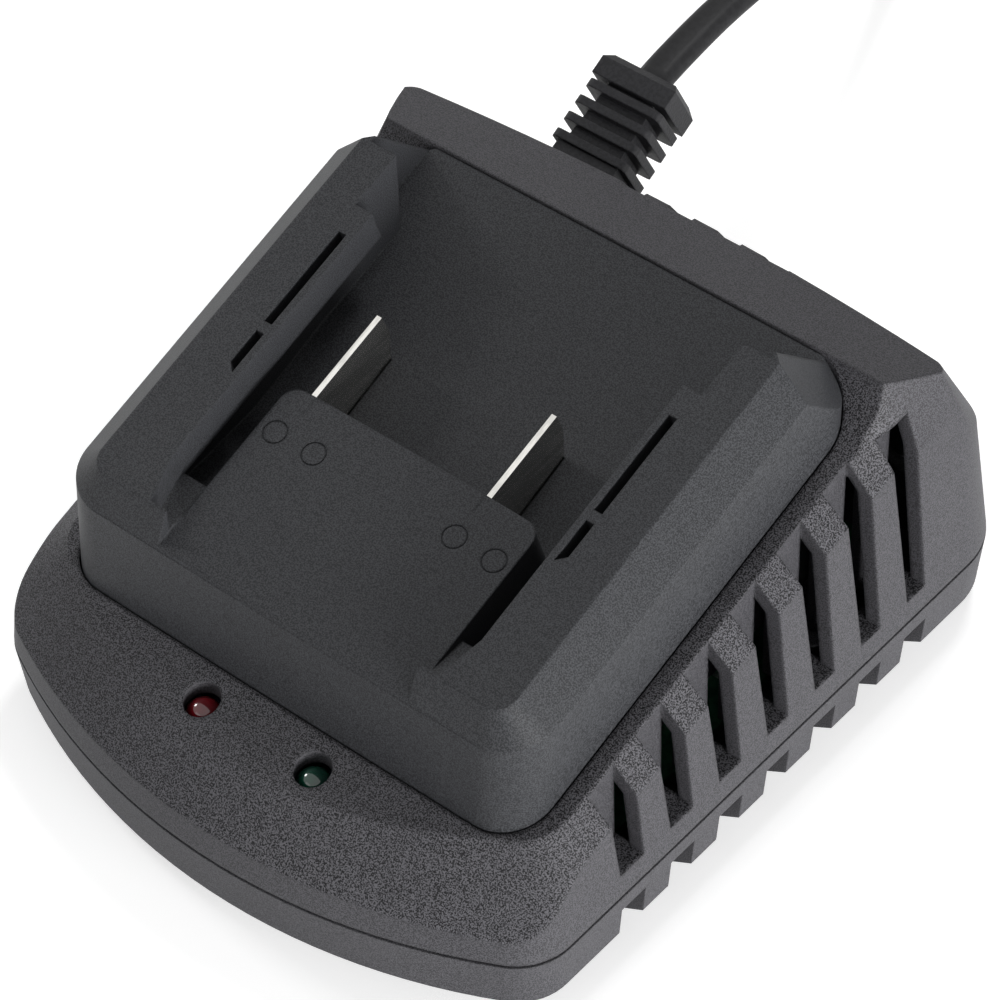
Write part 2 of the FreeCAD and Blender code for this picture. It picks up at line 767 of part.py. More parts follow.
def input_leads():
    start_y, start_z = RELIEF_BASE
    leads = []
    for x, end_x in ((RELIEF_X - 1.4, -27), (RELIEF_X + 1.4, -17)):
        points = [
            V(x, start_y - 8.2, start_z - 3.9), V(x, 47.5, 27), V(end_x, 47.2, 21), V(end_x, 48.0, 17.8),
        ]
        leads.append(bent_wire(points, 0.9))
    return leads[0].fuse(leads[1])


def output_leads():
    leads = []
    for x, end_x in zip(BLADE_X, (-10.0, 8.0)):
        points = [V(x, -2, 27.4), V(x, -4, 22), V(end_x, -16, 14), V(end_x, -18, BOARD_TOP)]
        leads.append(bent_wire(points, 0.9))
    return Part.makeCompound(leads)


# Strain relief

def along_relief(shape):
    """Shape drawn about the X axis with its length along Y, moved to the cord exit."""
    shape = shape.copy()
    shape.rotate(V(0, 0, 0), V(1, 0, 0), RELIEF_ANGLE)
    shape.translate(V(RELIEF_X, RELIEF_BASE[0], RELIEF_BASE[1]))
    return shape


def relief_point(s):
    a = math.radians(RELIEF_ANGLE)
    return V(RELIEF_X, RELIEF_BASE[0] + s * math.cos(a), RELIEF_BASE[1] + s * math.sin(a))


def relief_socket(gap):
    return along_relief(box(-5.4 - gap, 5.4 + gap, -9, 12, -4.2 - gap, 4.2 + gap))


def strain_relief():
    half = FIN_WIDTH / 2
    root = box(-5.3, 5.3, -7.5, 2.6, -4.1, 4.1)
    flange_in = box(-6.5, 6.5, -7.5, -5.6, -5.4, 5.4)
    stem = loft([
        polygon([V(-4.6, 2.6, -3.6), V(4.6, 2.6, -3.6), V(4.6, 2.6, 3.6), V(-4.6, 2.6, 3.6)]),
        polygon([V(-3.9, 15.4, -2.9), V(3.9, 15.4, -2.9), V(3.9, 15.4, 2.9), V(-3.9, 15.4, 2.9)]),
    ])
    parts = [flange_in, stem]
    for i in range(FIN_COUNT):
        y = 2.6 + FIN_PITCH * i - FIN_THICK / 2 + 0.7
        fin = box(-half, half, y, y + FIN_THICK, -FIN_HEIGHT / 2, FIN_HEIGHT / 2)
        edges = [e for e in fin.Edges if abs(e.Length - FIN_THICK) < 0.01]
        parts.append(fin.makeFillet(1.2, edges))
    collar = box(-half, half, 13.4, 17.4, -FIN_HEIGHT / 2, FIN_HEIGHT / 2)
    parts.append(collar.makeChamfer(1.1, [e for e in collar.Edges if e.CenterOfMass.y > 17.3]))
    shape = root.multiFuse(parts)
    bore = cord_section_face(V(0, -9, 0), V(0, 1, 0)).extrude(V(0, 22.4, 0))
    shape = shape.cut(bore)
    return along_relief(shape)


# Cord

def cord_section(centre, heading):
    """Flat two-core cable outline, wide across X where it lies, at a point on the path."""
    heading = V(heading)
    heading.normalize()
    side = heading.cross(V(0, 0, 1))
    side.normalize()
    top = side.cross(heading)
    w = CORD_WIDTH / 2 - CORD_HEIGHT / 2
    h = CORD_HEIGHT / 2
    place = lambda a, b: centre + side * a + top * b
    edges = [
        line(place(-w, -h), place(w, -h)),
        arc(place(w, -h), place(w + h, 0), place(w, h)),
        line(place(w, h), place(-w, h)),
        arc(place(-w, h), place(-w - h, 0), place(-w, -h)),
    ]
    return Part.Wire(edges)


def cord_section_face(centre, heading):
    return Part.Face(cord_section(centre, heading))


def section_area():
    return CORD_HEIGHT * (CORD_WIDTH - CORD_HEIGHT) + math.pi * (CORD_HEIGHT / 2) ** 2


def rounded_route(points):
    """Straight runs joined by tangent arcs, each as large as its two runs allow."""
    edges = []
    here = points[0]
    radii = []
    for before, corner, after in zip(points, points[1:], points[2:]):
        run_in = corner - before
        run_out = after - corner
        turn = run_in.getAngle(run_out)
        reach = 0.45 * min(run_in.Length, run_out.Length)
        radii.append(reach / math.tan(turn / 2))
        a = corner - V(run_in).normalize() * reach
        b = corner + V(run_out).normalize() * reach
        middle_way = (V(run_out).normalize() - V(run_in).normalize()).normalize()
        sag = radii[-1] * (1 / math.cos(turn / 2) - 1)
        edges.append(line(here, a))
        edges.append(arc(a, corner + middle_way * sag, b))
        here = b
    edges.append(line(here, points[-1]))
    return Part.Wire(edges), radii


def swept(section, path):
    return path.makePipeShell([section], True, False)


def report_tube(name, shape, path, radii):
    expected = section_area() * path.Length
    print("%s: length %.1f, volume %.0f against %.0f, least radius %.1f" % (
        name, path.Length, shape.Volume, expected, min(radii)))


def cord_drop_points():
    start = relief_point(17.4)
    rows = (
        (RELIEF_X, 93.0, 46.2), (RELIEF_X, 111.0, 44.6), (-23.5, 128.0, 38.0), (-28.0, 143.0, 27.2),
        (-34.5, 157.0, 15.8), (-40.0, 172.0, 7.4), (-coil_outer(), 189.0, CORD_REST_Z),
    )
    points = [start, V(RELIEF_X, start.y + 3.4, start.z + 0.85)]
    return points + [V(*row) for row in rows]


def cord_lead():
    points = cord_drop_points()
    points.append(V(-coil_outer(), 204.0, CORD_REST_Z))
    path, radii = rounded_route(points)
    heading = points[1] - points[0]
    tube = swept(cord_section(points[0], heading), path)
    report_tube("cord_lead", tube, path, radii)
    print("cord_lead radii", [round(r, 1) for r in radii])
    return tube, path.Length


# coil: in on the table, up one layer at the middle, out on top, then lifted and turned inward so
# that the plug lies on the turns

def coil_centre():
    return V(COIL_CENTRE[0], COIL_CENTRE[1], 0)


def coil_outer():
    return COIL_RADIUS + COIL_PITCH * COIL_TURNS / 2


def eased(s):
    """0 to 1, level at both ends."""
    s = min(max(s, 0.0), 1.0)
    return s ** 3 * (10 - 15 * s + 6 * s * s)


def coil_point(turn):
    """Place on the coil after so many turns from its outer start."""
    inner = coil_outer() - COIL_PITCH * COIL_TURNS
    past = turn - COIL_TURNS
    if past <= 0:
        radius = coil_outer() - COIL_PITCH * turn
        z = 0.0
    elif past <= 0.5:
        radius = inner - COIL_PITCH * min(past, 0.5 - past) - COIL_DIP * math.sin(2 * math.pi * past) ** 2
        z = COIL_LAYER * eased(past / 0.5)
    else:
        radius = inner + COIL_PITCH * (past - 0.5)
        z = COIL_LAYER + LIFT_RISE * eased(1 - (coil_turn_total() - turn) / LIFT_TURNS)
    angle = 2 * math.pi * turn
    centre = coil_centre()
    return V(centre.x - radius * math.cos(angle), centre.y + radius * math.sin(angle), CORD_REST_Z + z)


def coil_heading(turn):
    step = 1e-4
    return (coil_point(turn + step) - coil_point(turn - step)).normalize()


def biarc(p0, t0, p1, t1):
    """Two arcs that leave p0 along t0 and reach p1 along t1."""
    gap = p1 - p0
    both = t0 + t1
    a = 2 * (1 - t0.dot(t1))
    b = 2 * gap.dot(both)
    c = -gap.dot(gap)
    if abs(a) < 1e-9:
        d = -c / b
    else:
        d = (-b + math.sqrt(b * b - 4 * a * c)) / (2 * a)
    q0 = p0 + t0 * d
    q1 = p1 - t1 * d
    joint = (q0 + q1) * 0.5
    edges = []
    for start, corner, end in ((p0, q0, joint), (joint, q1, p1)):
        chord_mid = (start + end) * 0.5
        half_chord = (end - start).Length / 2
        leg = (corner - start).Length
        rise = math.sqrt(max(leg * leg - half_chord * half_chord, 0))
        if rise < 1e-6:
            edges.append(line(start, end))
            continue
        sag = half_chord * (leg - half_chord) / rise
        edges.append(arc(start, chord_mid + (corner - chord_mid).normalize() * sag, end))
    return edges


def coil_turn_total():
    return 2 * COIL_TURNS + 0.5


def coil_stations():
    """Every quarter turn, and closer where the coil climbs to its upper layer and off it."""
    stations = [0.25 * i for i in range(math.ceil(coil_turn_total() / 0.25))] + [coil_turn_total()]
    climb = [COIL_TURNS + i / 16 for i in range(9)]
    lift = [coil_turn_total() - LIFT_TURNS * i / 8 for i in range(1, 9)]
    return sorted(set(stations + climb + lift))


def cord_coil():
    stations = coil_stations()
    first = coil_point(0) - coil_heading(0.0001) * 6.0
    edges = [line(first, coil_point(0))]
    heading = [coil_heading(max(s, 0.0002)) for s in stations]
    for a, b, h0, h1 in zip(stations, stations[1:], heading, heading[1:]):
        edges += biarc(coil_point(a), h0, coil_point(b), h1)
    last = coil_point(stations[-1])
    ahead = heading[-1]
    inward = V(ahead.y, -ahead.x, 0)
    turned = last + (inward + ahead) * LIFT_ARC
    middle = last + inward * LIFT_ARC + (ahead - inward) * (LIFT_ARC * math.sqrt(0.5))
    end = turned + inward * COIL_TAIL
    edges.append(arc(last, middle, turned))
    edges.append(line(turned, end))
    path = Part.Wire(edges)
    tube = swept(cord_section(first, heading[0]), path)
    report_tube("cord_coil", tube, path, [COIL_RADIUS - COIL_PITCH * COIL_TURNS / 2])
    print("cord_coil least gap to itself %.2f" % least_gap(path))
    return tube, path.Length, end, inward


def least_gap(path):
    """Least clearance between neighbouring turns, measured on points of the swept path."""
    count = round(path.Length / 1.5)
    points = path.discretize(Number=count)
    skip = round(0.5 * 2 * math.pi * 18 / 1.5)
    least = 99.0
    for i, p in enumerate(points):
        for q in points[i + skip:]:
            side_gap = math.hypot(p.x - q.x, p.y - q.y) - CORD_WIDTH
            stack_gap = abs(p.z - q.z) - CORD_HEIGHT
            least = min(least, max(side_gap, stack_gap))
    return least


# Plug, tie

def plug_frame(origin, heading):
    """Placement that turns +Y into the cord's heading at the coil's end."""
    angle = math.degrees(math.atan2(heading.y, heading.x)) - 90
    return FreeCAD.Placement(origin, FreeCAD.Rotation(V(0, 0, 1), angle))


def plug_body():
    """Flat two-pin plug, lying on its broad side; origin where the cord enters."""
    neck = loft([plug_ring(0.0, 4.2, 3.2), plug_ring(22.0, 7.6, 5.2)])
    head = loft([plug_ring(22.0, 14.5, 6.5), plug_ring(33.0, 17.6, 6.8), plug_ring(38.0, 17.6, 6.8)])
    ribs = [loft([plug_ring(y, 5.4 + y * 0.12, 4.4), plug_ring(y + 1.4, 5.6 + y * 0.12, 4.5)])
            for y in (3, 6.5, 10, 13.5)]
    return neck.fuse([head] + ribs)


def plug_ring(y, half_width, half_height):
    """Rounded oblong across the plug's axis."""
    r = half_height * 0.75
    w = half_width - r
    h = half_height - r
    k = r * math.sqrt(0.5)
    edges = []
    for sx, sz in ((1, 1), (-1, 1), (-1, -1), (1, -1)):
        turn = sx * sz
        a = V(sx * (w + r), y, sz * h)
        m = V(sx * (w + k), y, sz * (h + k))
        b = V(sx * w, y, sz * (h + r))
        edges.append((a, m, b) if turn > 0 else (b, m, a))
    wire = []
    for i, (a, m, b) in enumerate(edges):
        wire.append(arc(a, m, b))
        wire.append(line(b, edges[(i + 1) % 4][0]))
    return Part.Wire(wire)


def plug_pins():
    pins = []
    for x in (-9.3, 9.3):
        sleeve = Part.makeCylinder(1.85, 10, V(x, 38, 0), V(0, 1, 0))
        tip = Part.makeCylinder(2.0, 7.5, V(x, 48, 0), V(0, 1, 0))
        point = Part.makeCone(2.0, 1.2, 1.5, V(x, 55.5, 0), V(0, 1, 0))
        pins.append(sleeve.fuse([tip, point]))
    return Part.makeCompound(pins)


def coil_tie():
    """Strap round all the turns at one place."""
    outer_x = coil_outer() - COIL_PITCH * 0.5 + CORD_WIDTH / 2 + 0.5
    inner_x = coil_outer() - COIL_PITCH * (COIL_TURNS - 0.25) - CORD_WIDTH / 2 - 0.5
    low = CORD_REST_Z - CORD_HEIGHT / 2 - 0.2
    top = CORD_REST_Z + COIL_LAYER + CORD_HEIGHT / 2 + 0.3
    strap = box(-outer_x - 0.8, -inner_x + 0.8, -4, 4, low - 0.8, top + 0.8)
    strap = strap.makeFillet(1.6, [e for e in strap.Edges if abs(e.Length - 8) < 0.01])
    hole = box(-outer_x, -inner_x, -5, 5, low, top)
    strap = strap.cut(hole.makeFillet(0.9, [e for e in hole.Edges if abs(e.Length - 10) < 0.01]))
    strap = mirrored(strap)
    strap.translate(coil_centre())
    return strap


def charger_pieces():
    return {
        "top_shell": top_shell(),
        "bottom_shell": bottom_shell(),
        "battery_cradle": battery_cradle(),
        "contact_blade_left": blade(BLADE_X[0]),
        "contact_blade_right": blade(BLADE_X[1]),
        "led_red": lamp(-1),
        "led_green": lamp(1),
        "circuit_board": circuit_board(),
        "transformer": transformer(),
        "bulk_capacitor": bulk_capacitor(),
        "output_capacitors": output_capacitors(),
        "choke": choke(),
        "heat_sink": heat_sink(),
        "power_transistor": power_transistor(),
        "bridge_rectifier": bridge_rectifier(),
        "fuse": fuse(),
        "controller_chip": controller_chip(),
        "input_terminal": input_terminal(),
        "input_leads": input_leads(),
        "output_leads": output_leads(),
        "board_screws": board_screws(),
        "case_screws": case_screws(),
        "rubber_feet": rubber_feet(),
        "strain_relief": strain_relief(),
    }


def cord_pieces():
    lead, lead_length = cord_lead()
    coil, coil_length, end, heading = cord_coil()
    frame = plug_frame(end, heading)
    pieces = {"cord_lead": lead, "cord_coil": coil, "coil_tie": coil_tie()}
    for name, shape in (("plug_body", plug_body()), ("plug_pins", plug_pins())):
        shape.Placement = frame
        pieces[name] = shape
    print("cord length %.0f" % (lead_length + coil_length))
    return pieces


def main():
    charger = charger_pieces()
    cord = cord_pieces()
    bounds = FreeCAD.BoundBox()
    for shape in charger.values():
        bounds.add(shape.optimalBoundingBox(True, False))
    move = V(-bounds.Center.x, -bounds.Center.y, -bounds.ZMin)
    print("moved by", move, "size", bounds.XLength, bounds.YLength, bounds.ZLength)
    os.makedirs("parts", exist_ok=True)
    for name, shape in list(charger.items()) + list(cord.items()):
        shape = shape.removeSplitter() if len(shape.Solids) == 1 else shape
        shape.translate(move)
        facts = (name, shape.isValid(), len(shape.Solids), shape.Volume)
        print("%-20s valid %s, %d solids, %.0f mm3" % facts)
        shape.exportStep("parts/%s.step" % name)


main()
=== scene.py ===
# %% [markdown]
# A desktop battery charger seen from above its front right corner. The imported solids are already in
# place and at their real size, so this script only finishes surfaces and makes the soft mains cord.
# Loading comes first, because every later cell asks the frame where something is.

# %% Load the frame
import bpy
import json
import math
from mathutils import Matrix, Vector


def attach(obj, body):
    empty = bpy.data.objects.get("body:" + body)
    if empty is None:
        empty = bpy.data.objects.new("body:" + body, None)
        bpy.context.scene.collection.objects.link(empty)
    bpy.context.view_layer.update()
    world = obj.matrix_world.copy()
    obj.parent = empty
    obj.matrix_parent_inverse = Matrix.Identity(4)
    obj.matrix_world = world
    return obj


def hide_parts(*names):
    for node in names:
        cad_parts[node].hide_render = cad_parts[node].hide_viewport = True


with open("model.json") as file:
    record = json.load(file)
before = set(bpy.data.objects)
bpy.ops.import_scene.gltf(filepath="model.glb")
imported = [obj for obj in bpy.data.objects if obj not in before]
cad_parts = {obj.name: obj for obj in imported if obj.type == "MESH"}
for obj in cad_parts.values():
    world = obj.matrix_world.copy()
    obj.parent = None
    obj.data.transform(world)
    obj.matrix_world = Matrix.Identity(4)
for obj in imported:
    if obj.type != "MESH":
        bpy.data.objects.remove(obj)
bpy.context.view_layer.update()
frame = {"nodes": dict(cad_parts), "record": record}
nodes = frame["nodes"]
scene = bpy.context.scene
scene.view_settings.view_transform = "Standard"
MM = 0.001
DRAWN_TO_FRAME = Vector((0.0, -12.3495, 1.0))


def place(x, y, z):
    """Metres in the frame, from the millimetres that the housing was drawn in."""
    return (Vector((x, y, z)) + DRAWN_TO_FRAME) * MM


# %% [markdown]
# The photograph was taken with a long lens from a high corner. A lens can be guessed by eye, but here
# the vanishing of the rails and the flank slots was solved for, so the camera is written as the three
# directions of its own axes and one point. Columns are right, up and backwards, as Blender wants them.

# %% Camera
CAMERA_POINT = (0.24016, -0.28197, 0.43687)
CAMERA_RIGHT = (0.7792, 0.6262, -0.0268)
CAMERA_UP = (-0.4519, 0.5909, 0.6683)
CAMERA_BACK = (0.4343, -0.5087, 0.7434)
FOCAL_PIXELS = 4056.27
PICTURE_SIDE = 1000
SENSOR = 36.0

lens_data = bpy.data.cameras.new("camera")
lens_data.sensor_width = SENSOR
lens_data.lens = FOCAL_PIXELS * SENSOR / PICTURE_SIDE
lens_data.clip_start = 0.01
camera = bpy.data.objects.new("camera", lens_data)
scene.collection.objects.link(camera)
columns = Matrix((CAMERA_RIGHT, CAMERA_UP, CAMERA_BACK)).transposed()
camera.matrix_world = Matrix.Translation(CAMERA_POINT) @ columns.to_4x4()
scene.camera = camera
print("lens %.1f mm" % lens_data.lens)

# %% [markdown]
# The mains cord is soft, so it is not a stiff pipe. A few listed points hang it from the relief to the
# table. All of the coil's points could be set by hand too, but neighbouring turns would touch somewhere,
# so a formula winds the spare length in two layers. It then lifts the end and turns it inward, so that
# the plug lies on the turns. Points here are in the millimetres that the housing was drawn in.

# %% Cord route
RELIEF_X = -22.0
RELIEF_BASE = (59.0, 36.2)
RELIEF_ANGLE = math.radians(26.0)
RELIEF_LENGTH = 17.4
CORD_REST_Z = 1.75
COIL_RADIUS, COIL_PITCH, COIL_LAYER, COIL_TURNS, COIL_DIP = 32.4, 6.1, 4.8, 3.75, 1.2
COIL_CENTRE = (0.0, 210.0)
COIL_TAIL = 6.0
LIFT_TURNS, LIFT_RISE, LIFT_ARC = 0.2, 8.8, 30.0
TOTAL_TURNS = 2 * COIL_TURNS + 0.5
POINTS_PER_TURN = 24
LIFT_ARC_STEPS = 12
EXIT_RUN = (3.4, 0.85)
HEADING_STEP = 0.0001
OUTER = COIL_RADIUS + COIL_PITCH * COIL_TURNS / 2
CORD_FALL = (
    (RELIEF_X, 93.0, 46.2), (RELIEF_X, 111.0, 44.6), (-23.5, 128.0, 38.0), (-28.0, 143.0, 27.2),
    (-34.5, 157.0, 15.8), (-40.0, 172.0, 7.4), (-OUTER, 189.0, CORD_REST_Z), (-OUTER, 204.0, CORD_REST_Z),
)


def eased(s):
    """0 to 1, level at both ends."""
    s = min(max(s, 0.0), 1.0)
    return s ** 3 * (10 - 15 * s + 6 * s * s)


def coil_point(turn):
    """In on the table, up one layer at the middle, and out on top."""
    inner = OUTER - COIL_PITCH * COIL_TURNS
    past = turn - COIL_TURNS
    if past <= 0:
        radius, z = OUTER - COIL_PITCH * turn, 0.0
    elif past <= 0.5:
        dip = COIL_DIP * math.sin(2 * math.pi * past) ** 2
        radius = inner - COIL_PITCH * min(past, 0.5 - past) - dip
        z = COIL_LAYER * eased(past / 0.5)
    else:
        radius = inner + COIL_PITCH * (past - 0.5)
        z = COIL_LAYER + LIFT_RISE * eased(1 - (TOTAL_TURNS - turn) / LIFT_TURNS)
    angle = 2 * math.pi * turn
    x = COIL_CENTRE[0] - radius * math.cos(angle)
    return (x, COIL_CENTRE[1] + radius * math.sin(angle), CORD_REST_Z + z)


exit_y = RELIEF_BASE[0] + RELIEF_LENGTH * math.cos(RELIEF_ANGLE)
exit_z = RELIEF_BASE[1] + RELIEF_LENGTH * math.sin(RELIEF_ANGLE)
route = [(RELIEF_X, exit_y, exit_z), (RELIEF_X, exit_y + EXIT_RUN[0], exit_z + EXIT_RUN[1])]
route += list(CORD_FALL)
steps = round(TOTAL_TURNS * POINTS_PER_TURN)
route += [coil_point(TOTAL_TURNS * i / steps) for i in range(steps + 1)]
last, before = Vector(coil_point(TOTAL_TURNS)), Vector(coil_point(TOTAL_TURNS - HEADING_STEP))
ahead = (last - before).normalized()
inward = Vector((ahead.y, -ahead.x, 0))
for i in range(1, LIFT_ARC_STEPS + 1):
    a = math.radians(90 * i / LIFT_ARC_STEPS)
    route.append(tuple(last + (inward * (1 - math.cos(a)) + ahead * math.sin(a)) * LIFT_ARC))
turned = last + (inward + ahead) * LIFT_ARC
route += [tuple(turned + inward * COIL_TAIL * f) for f in (0.5, 1.0)]
print("route points:", len(route))

# %% [markdown]
# A NURBS spline takes those points as control points and gives one smooth line. The real cord is flat,
# and a curve's own bevel is round, so the line is read back as points and a flat section is carried
# along it. It takes the place of the two cord solids, and the plug, pins and tie stay as they are.

# %% Cord as a flat tube
CORD_WIDTH, CORD_HEIGHT = 5.4, 3.4
HALF_ROUND_STEPS = 8
SPLINE_STEPS = 4
SPLINE_ORDER = 3


def spline_points(points):
    """Points along the smooth line that the control points give, in metres."""
    data = bpy.data.curves.new("cord_line", "CURVE")
    data.dimensions = "3D"
    data.resolution_u = SPLINE_STEPS
    spline = data.splines.new("NURBS")
    spline.points.add(len(points) - 1)
    for target, p in zip(spline.points, points):
        target.co = (*place(*p), 1.0)
    spline.order_u = SPLINE_ORDER
    spline.use_endpoint_u = True
    holder = bpy.data.objects.new("cord_line", data)
    mesh = bpy.data.meshes.new_from_object(holder)
    found = [v.co.copy() for v in mesh.vertices]
    bpy.data.objects.remove(holder)
    bpy.data.meshes.remove(mesh)
    return found


def flat_section():
    """The cord's outline: two flats joined by half rounds."""
    radius = CORD_HEIGHT / 2
    reach = CORD_WIDTH / 2 - radius
    section = []
    for side in (1, -1):
        for i in range(HALF_ROUND_STEPS + 1):
            angle = math.radians(-90 + 180 * i / HALF_ROUND_STEPS)
            section.append((side * (reach + radius * math.cos(angle)), side * radius * math.sin(angle)))
    return [(a * MM, b * MM) for a, b in section]


def flat_tube(name, line, section):
    """Carries the section along the line with its broad side kept level."""
    verts, faces = [], []
    count = len(section)
    for i, p in enumerate(line):
        heading = (line[min(i + 1, len(line) - 1)] - line[max(i - 1, 0)]).normalized()
        side = heading.cross(Vector((0, 0, 1))).normalized()
        top = side.cross(heading)
        verts += [p + side * a + top * b for a, b in section]
    for i in range(len(line) - 1):
        for j in range(count):
            k = (j + 1) % count
            faces.append((i * count + j, i * count + k, (i + 1) * count + k, (i + 1) * count + j))
    faces.append(tuple(range(count)))
    faces.append(tuple(reversed(range((len(line) - 1) * count, len(line) * count))))
    mesh = bpy.data.meshes.new(name)
    mesh.from_pydata([tuple(v) for v in verts], [], faces)
    mesh.update()
    mesh.shade_smooth()
    tube = bpy.data.objects.new(name, mesh)
    scene.collection.objects.link(tube)
    return tube


line = spline_points(route)
cord = flat_tube("mains_cord", line, flat_section())
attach(cord, "root")
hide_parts("cord_lead", "cord_coil")

# %% [markdown]
# Every finish starts from the same three steps: a new material, a noise, and a ramp that turns the noise
# into two colours. An image could hold the grain instead, but noise needs no file and has no seam.

# %% Material helpers
def new_material(name):
    material = bpy.data.materials.new(name)
    material.use_nodes = True
    tree = material.node_tree
    return material, tree, tree.nodes["Principled BSDF"]


def noise(tree, scale, detail=2.0, coords=None):
    node = tree.nodes.new("ShaderNodeTexNoise")
    node.inputs["Scale"].default_value = scale
    node.inputs["Detail"].default_value = detail
    if coords is None:
        coords = tree.nodes.new("ShaderNodeTexCoord").outputs["Object"]
    tree.links.new(coords, node.inputs["Vector"])
    return node


def ramp(tree, source, low, high, start=0.42, end=0.58):
    node = tree.nodes.new("ShaderNodeValToRGB")
    node.color_ramp.elements[0].position = start
    node.color_ramp.elements[1].position = end
    node.color_ramp.elements[0].color = (*low, 1)
    node.color_ramp.elements[1].color = (*high, 1)
    tree.links.new(source, node.inputs["Fac"])
    return node.outputs["Color"]


print("helpers: new_material, noise, ramp")

# %% [markdown]
# The bands and the ledge of the housing come from a more deeply eroded part of the mould, so they carry
# a stronger speckle, and its brighter specks are also painted sparkle highlights. One material can tell
# them apart by which way a face leans.

# %% Coarsely eroded faces with painted sparkle
LEANING = (0.30, 0.45)
REARWARD = (0.12, 0.22)


def eroded_and_glint_faces(tree):
    """1 on the coarser bands and ledge, which also get painted sparkle; 0 on upright walls and on the plate
    that leans to the rear.
    """
    normal = tree.nodes.new("ShaderNodeNewGeometry").outputs["Normal"]
    parts = tree.nodes.new("ShaderNodeSeparateXYZ")
    tree.links.new(normal, parts.inputs[0])
    leaning = tree.nodes.new("ShaderNodeMapRange")
    leaning.inputs["From Min"].default_value = LEANING[0]
    leaning.inputs["From Max"].default_value = LEANING[1]
    tree.links.new(parts.outputs["Z"], leaning.inputs["Value"])
    rearward = tree.nodes.new("ShaderNodeMapRange")
    rearward.inputs["From Min"].default_value = REARWARD[0]
    rearward.inputs["From Max"].default_value = REARWARD[1]
    rearward.inputs["To Min"].default_value = 1.0
    rearward.inputs["To Max"].default_value = 0.0
    tree.links.new(parts.outputs["Y"], rearward.inputs["Value"])
    both = tree.nodes.new("ShaderNodeMath")
    both.operation = "MULTIPLY"
    tree.links.new(leaning.outputs["Result"], both.inputs[0])
    tree.links.new(rearward.outputs["Result"], both.inputs[1])
    return both.outputs[0]


print("coarse where a face's normal has z over", LEANING[1], "and y under", REARWARD[0])

# %% [markdown]
# Most of what is seen is one charcoal plastic, spark-eroded so that it sparkles. The grain is two tenths
# of a millimetre across: a fine noise drives colour, roughness and bump together, and a much larger,
# faint noise keeps wide faces from looking painted. A shader bevel rounds each hard edge a little, which
# draws the thin bright line along a crease without touching the solids.

# %% Moulded plastic and rubber
EDGE = 0.35 * MM
EDGE_SAMPLES = 4
GLOSS_SPREAD = 0.08
BROAD_SCALE = 45.0
PLASTIC_SPECULAR = 0.16


def grained(name, colour, contrast, roughness, grain, bump, edge=EDGE, coarse_and_glint=0.0):
    """Moulded plastic or rubber; grain is the size of one speck in metres.

    The last argument adds that much contrast again on the faces picked out by the way they lean: a coarser
    grain, whose brighter specks are painted sparkle highlights.
    """
    material, tree, shader = new_material(name)
    fine = noise(tree, 1.0 / grain, 2.0)
    broad = noise(tree, BROAD_SCALE, 3.0)
    low = tuple(c * (1 - contrast) for c in colour)
    high = tuple(c * (1 + contrast) for c in colour)
    speckled = ramp(tree, fine.outputs["Fac"], low, high)
    if coarse_and_glint:
        # Stronger speckle on faces that lean up: a coarser grain, with brighter specks that are painted
        # sparkle highlights.
        deep = tuple(c * max(1 - contrast - coarse_and_glint, 0.1) for c in colour)
        bright = tuple(c * (1 + contrast + coarse_and_glint) for c in colour)
        eroded_and_glint = ramp(tree, fine.outputs["Fac"], deep, bright)
        pick = tree.nodes.new("ShaderNodeMix")
        pick.data_type = "RGBA"
        tree.links.new(eroded_and_glint_faces(tree), pick.inputs[0])
        tree.links.new(speckled, pick.inputs[6])
        tree.links.new(eroded_and_glint, pick.inputs[7])
        speckled = pick.outputs[2]
    shade = ramp(tree, broad.outputs["Fac"], (0.92, 0.92, 0.93), (1.0, 1.0, 1.0), 0.3, 0.7)
    mix = tree.nodes.new("ShaderNodeMix")
    mix.data_type = "RGBA"
    mix.blend_type = "MULTIPLY"
    mix.inputs[0].default_value = 1.0
    tree.links.new(speckled, mix.inputs[6])
    tree.links.new(shade, mix.inputs[7])
    tree.links.new(mix.outputs[2], shader.inputs["Base Color"])
    gloss = tree.nodes.new("ShaderNodeMapRange")
    gloss.inputs["To Min"].default_value = roughness - GLOSS_SPREAD
    gloss.inputs["To Max"].default_value = roughness + GLOSS_SPREAD
    tree.links.new(fine.outputs["Fac"], gloss.inputs["Value"])
    tree.links.new(gloss.outputs["Result"], shader.inputs["Roughness"])
    rounded = tree.nodes.new("ShaderNodeBevel")
    rounded.samples = EDGE_SAMPLES
    rounded.inputs["Radius"].default_value = edge
    rough = tree.nodes.new("ShaderNodeBump")
    rough.inputs["Strength"].default_value = bump
    rough.inputs["Distance"].default_value = grain * 0.5
    tree.links.new(fine.outputs["Fac"], rough.inputs["Height"])
    tree.links.new(rounded.outputs["Normal"], rough.inputs["Normal"])
    tree.links.new(rough.outputs["Normal"], shader.inputs["Normal"])
    shader.inputs["Specular IOR Level"].default_value = PLASTIC_SPECULAR
    return material


print("plastic edge %.2f mm" % (EDGE / MM))

# %% [markdown]
# Blades, pins, screws and the heat sink are drawn or rolled metal, scored along one axis by a stretched
# noise. The lamps are tinted resin. Clear glass would show that no chip or wire is modelled in them, so
# a dark glossy colour under a clear coat stands for the resin.

# %% Metal and resin
SCORE_SCALE = 900.0
SCORE_DEPTH = 0.04 * MM
FLOW_SCALE = 520.0


